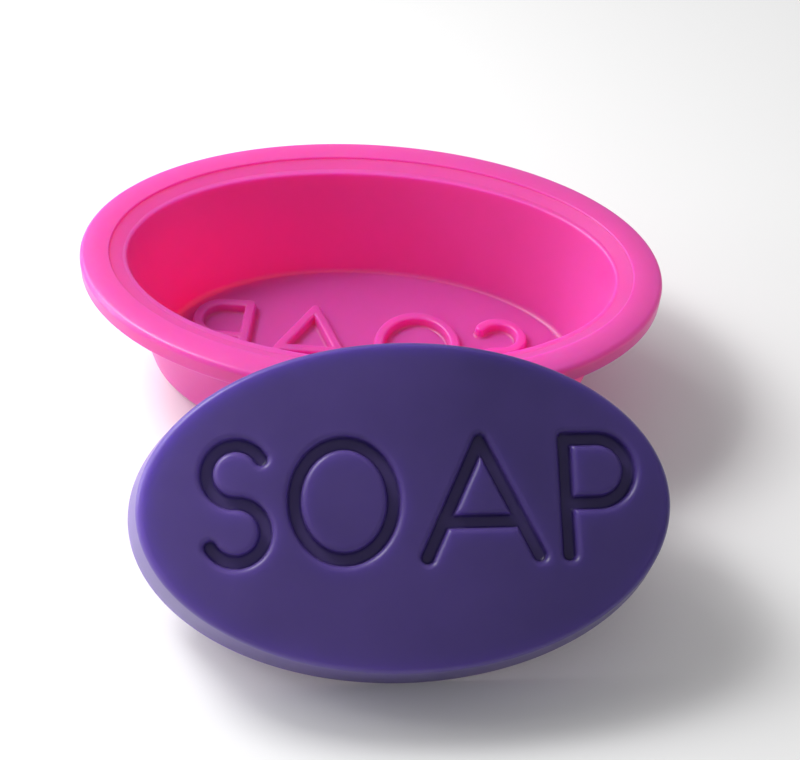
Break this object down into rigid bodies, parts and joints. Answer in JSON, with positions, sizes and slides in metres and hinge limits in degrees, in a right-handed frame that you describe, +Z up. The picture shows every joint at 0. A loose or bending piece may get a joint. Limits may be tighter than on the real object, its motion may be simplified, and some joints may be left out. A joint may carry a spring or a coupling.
{
  "type": "silicone soap mould",
  "caption": "Oval single-cavity silicone soap mould with a stepped rim and raised mirrored letters on its floor, and the drafted oval soap bar cast in it leaning on the rim.",
  "frame": {"origin": "middle of the mould's flat underside, where it rests", "axes": "+Z up, +X along the mould's length to the viewer's right, +Y to the back; the soap bar leans on the front rim, on the -Y side"},
  "size_m": [0.096, 0.1057, 0.0362],
  "materials": {
    "silicone": "soft satin, slightly translucent",
    "soap": "smooth satin, slightly translucent"
  },
  "bodies": {
    "mould": {"mould": "silicone"},
    "bar": {"soap_bar": "soap"}
  },
  "joints": [
    {"name": "bar_lift", "type": "slide", "parent": "mould", "child": "bar", "axis": [0, 0, 1], "range_m": [0, 0.06]}
  ]
}
